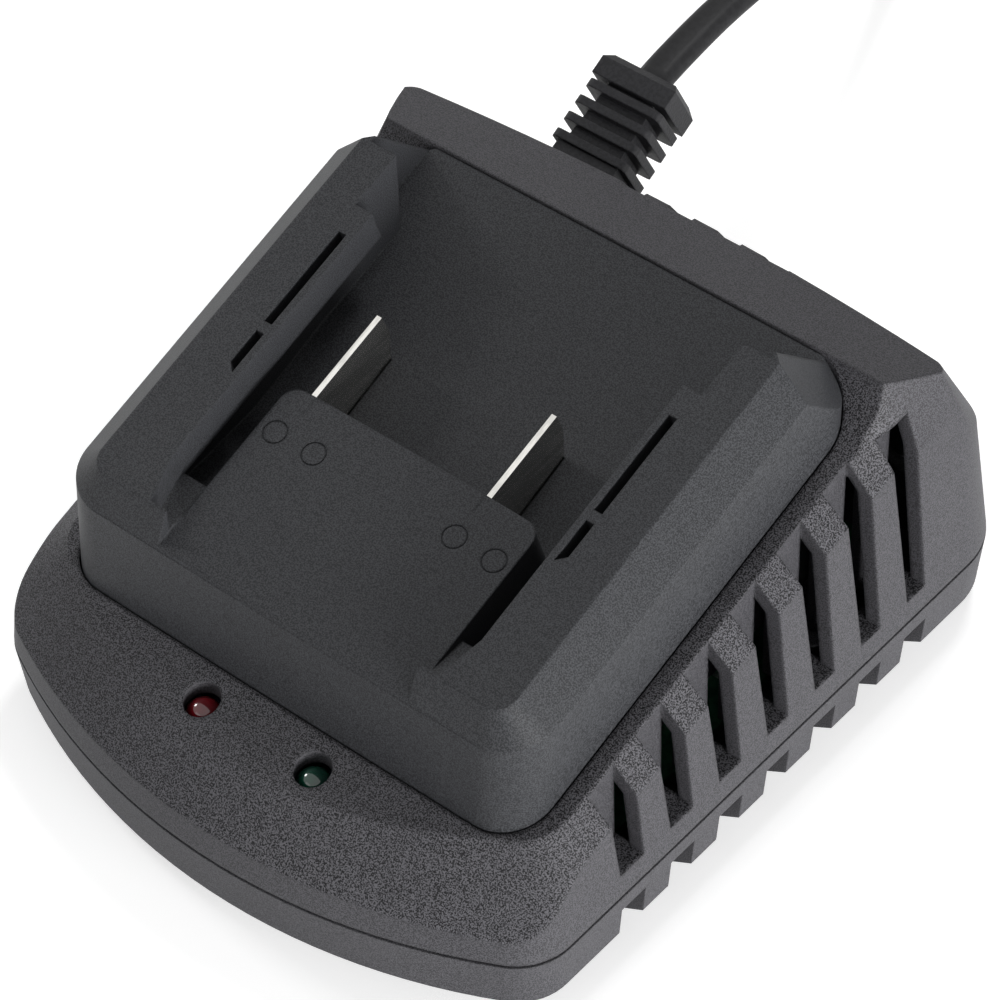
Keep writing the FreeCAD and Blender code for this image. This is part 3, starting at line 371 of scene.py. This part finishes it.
def brushed(name, colour, roughness, stretch):
    """Drawn or rolled metal: noise stretched along one axis scores it."""
    material, tree, shader = new_material(name)
    coords = tree.nodes.new("ShaderNodeTexCoord")
    scale = tree.nodes.new("ShaderNodeMapping")
    scale.inputs["Scale"].default_value = stretch
    tree.links.new(coords.outputs["Object"], scale.inputs["Vector"])
    score = noise(tree, SCORE_SCALE, 3.0, scale.outputs["Vector"])
    scored = ramp(tree, score.outputs["Fac"], tuple(c * 0.82 for c in colour), colour)
    tree.links.new(scored, shader.inputs["Base Color"])
    shader.inputs["Metallic"].default_value = 1.0
    shader.inputs["Roughness"].default_value = roughness
    rough = tree.nodes.new("ShaderNodeBump")
    rough.inputs["Strength"].default_value = 0.25
    rough.inputs["Distance"].default_value = SCORE_DEPTH
    tree.links.new(score.outputs["Fac"], rough.inputs["Height"])
    tree.links.new(rough.outputs["Normal"], shader.inputs["Normal"])
    return material


def resin(name, deep, edge_colour):
    """Tinted clear resin: a deep tone and a lighter one, mixed by a noise into faint flow lines."""
    material, tree, shader = new_material(name)
    flow = noise(tree, FLOW_SCALE, 2.0)
    tree.links.new(ramp(tree, flow.outputs["Fac"], deep, edge_colour, 0.2, 0.9), shader.inputs["Base Color"])
    shader.inputs["Roughness"].default_value = 0.06
    shader.inputs["Coat Weight"].default_value = 0.6
    shader.inputs["Coat Roughness"].default_value = 0.03
    return material


print("score depth %.2f mm" % (SCORE_DEPTH / MM))

# %% [markdown]
# Each solid is handed the finish of what it is made of. Pieces shut inside get true finishes too,
# because the vents show them.

# %% Finishes
CHARCOAL = (0.056, 0.055, 0.060)
finishes = {
    # The housing's up-leaning faces get a coarser speckle whose bright specks are painted sparkle.
    "housing": grained("housing", CHARCOAL, 0.42, 0.52, 0.00020, 0.6, edge=0.8 * MM, coarse_and_glint=0.45),
    "housing_lower": grained("housing_lower", CHARCOAL, 0.42, 0.55, 0.00020, 0.5),
    "cradle": grained("cradle", (0.034, 0.035, 0.038), 0.42, 0.46, 0.00020, 0.4, edge=0.5 * MM),
    "contact_metal": brushed("contact_metal", (0.80, 0.79, 0.75), 0.24, (1.0, 0.08, 1.0)),
    "lamp_red": resin("lamp_red", (0.10, 0.002, 0.006), (0.26, 0.006, 0.012)),
    "lamp_green": resin("lamp_green", (0.002, 0.030, 0.020), (0.006, 0.085, 0.050)),
    "board": grained("board", (0.02, 0.11, 0.05), 0.15, 0.38, 0.0009, 0.1),
    "ferrite": grained("ferrite", (0.05, 0.05, 0.05), 0.2, 0.7, 0.0005, 0.4),
    "capacitor_sleeve": grained("capacitor_sleeve", (0.02, 0.025, 0.05), 0.1, 0.22, 0.0015, 0.05),
    "copper_winding": brushed("copper_winding", (0.62, 0.27, 0.12), 0.32, (1.0, 1.0, 0.1)),
    "aluminium_sheet": brushed("aluminium_sheet", (0.76, 0.76, 0.77), 0.34, (0.1, 1.0, 1.0)),
    "component_black": grained("component_black", (0.018, 0.018, 0.019), 0.2, 0.5, 0.0003, 0.3),
    "fuse_glass": grained("fuse_glass", (0.55, 0.56, 0.53), 0.05, 0.12, 0.002, 0.02),
    "terminal_green": grained("terminal_green", (0.04, 0.2, 0.06), 0.12, 0.42, 0.0006, 0.15),
    "lead_wire": grained("lead_wire", (0.22, 0.08, 0.03), 0.08, 0.34, 0.001, 0.05),
    "screw_steel": brushed("screw_steel", (0.56, 0.56, 0.55), 0.3, (0.2, 1.0, 1.0)),
    "foot_rubber": grained("foot_rubber", (0.022, 0.022, 0.022), 0.25, 0.78, 0.0006, 0.4),
    "relief_rubber": grained("relief_rubber", (0.018, 0.018, 0.020), 0.22, 0.5, 0.0005, 0.25),
    "cord_sheath": grained("cord_sheath", (0.013, 0.013, 0.014), 0.14, 0.46, 0.0008, 0.12),
    "tie_plastic": grained("tie_plastic", (0.02, 0.02, 0.02), 0.25, 0.6, 0.0004, 0.4),
    "plug_rubber": grained("plug_rubber", (0.026, 0.026, 0.029), 0.18, 0.46, 0.0006, 0.2),
    "pin_metal": brushed("pin_metal", (0.83, 0.82, 0.79), 0.16, (1.0, 0.15, 1.0)),
}
for row in frame["record"]["subparts"]:
    node = nodes[row["node"]]
    node.data.materials.clear()
    node.data.materials.append(finishes[row["material_slot"]])
cord.data.materials.append(finishes["cord_sheath"])
print("finishes:", len(finishes))

# %% [markdown]
# The lighting is plain: a broad panel low on the right lifts the flank, a weak one stands at the front
# left, and there are two small square boxes, one at the left and one high at the rear. A lamp's dome
# mirrors those two as its bright squares, and where the squares sit on the dome says where they stand.

# %% Lights
def panel(name, spot, target, size, watts, height=None):
    data = bpy.data.lights.new(name, "AREA")
    data.shape = "RECTANGLE"
    data.size = size
    data.size_y = height or size
    data.energy = watts
    lamp = bpy.data.objects.new(name, data)
    lamp.location = spot
    direction = Vector(target) - Vector(spot)
    lamp.rotation_euler = direction.to_track_quat("-Z", "Y").to_euler()
    scene.collection.objects.link(lamp)


CENTRE = (0.0, 0.0, 0.03)
panel("right_panel", (1.0, -0.26, 0.14), CENTRE, 0.8, 18.0, 0.22)
panel("front_panel", (-0.20, -0.95, 0.60), CENTRE, 0.7, 1.0)
panel("left_box", (-0.73, -0.03, 0.53), CENTRE, 0.18, 1.6)
panel("high_box", (-0.06, 0.39, 0.81), CENTRE, 0.18, 2.2)

# %% [markdown]
# The background is white in the photograph. More light would bleach the plastic, so the world and the
# floor are white only to a ray from the camera, a mirror or glass. To every other ray the world is a weak
# fill, and the floor keeps the charger's shadow.

# %% Room and floor
WORLD_SEEN, WORLD_FILL = 1.0, 0.26
FLOOR_GLOW = 0.5
FLOOR_WHITE = (0.82, 0.82, 0.82, 1)
FLOOR_HALF = 6.0
FLOOR_Z = -0.0001
CORNERS = ((-1, -1), (1, -1), (1, 1), (-1, 1))


def white_to_camera(tree, seen, unseen):
    """Strength that a camera, mirror or glass sees, against what lights the object."""
    path = tree.nodes.new("ShaderNodeLightPath")
    mirrored = tree.nodes.new("ShaderNodeMath")
    mirrored.operation = "MAXIMUM"
    tree.links.new(path.outputs["Is Camera Ray"], mirrored.inputs[0])
    tree.links.new(path.outputs["Is Glossy Ray"], mirrored.inputs[1])
    clear = tree.nodes.new("ShaderNodeMath")
    clear.operation = "MAXIMUM"
    tree.links.new(mirrored.outputs[0], clear.inputs[0])
    tree.links.new(path.outputs["Is Transmission Ray"], clear.inputs[1])
    spread = tree.nodes.new("ShaderNodeMapRange")
    spread.inputs["To Min"].default_value = unseen
    spread.inputs["To Max"].default_value = seen
    tree.links.new(clear.outputs[0], spread.inputs["Value"])
    return spread.outputs["Result"]


world = bpy.data.worlds.new("room")
scene.world = world
world.use_nodes = True
backdrop = world.node_tree.nodes["Background"]
backdrop.inputs["Color"].default_value = (1, 1, 1, 1)
world_strength = white_to_camera(world.node_tree, WORLD_SEEN, WORLD_FILL)
world.node_tree.links.new(world_strength, backdrop.inputs["Strength"])

floor_mesh = bpy.data.meshes.new("floor")
floor_mesh.from_pydata([(x * FLOOR_HALF, y * FLOOR_HALF, FLOOR_Z) for x, y in CORNERS], [], [(0, 1, 2, 3)])
floor = bpy.data.objects.new("floor", floor_mesh)
scene.collection.objects.link(floor)
floor_finish, floor_tree, floor_shader = new_material("floor")
floor_shader.inputs["Base Color"].default_value = FLOOR_WHITE
floor_shader.inputs["Roughness"].default_value = 0.9
floor_shader.inputs["Emission Color"].default_value = (1, 1, 1, 1)
floor_tree.links.new(white_to_camera(floor_tree, FLOOR_GLOW, 0.0), floor_shader.inputs["Emission Strength"])
floor_mesh.materials.append(floor_finish)
print("floor %.0f m wide" % (2 * FLOOR_HALF))
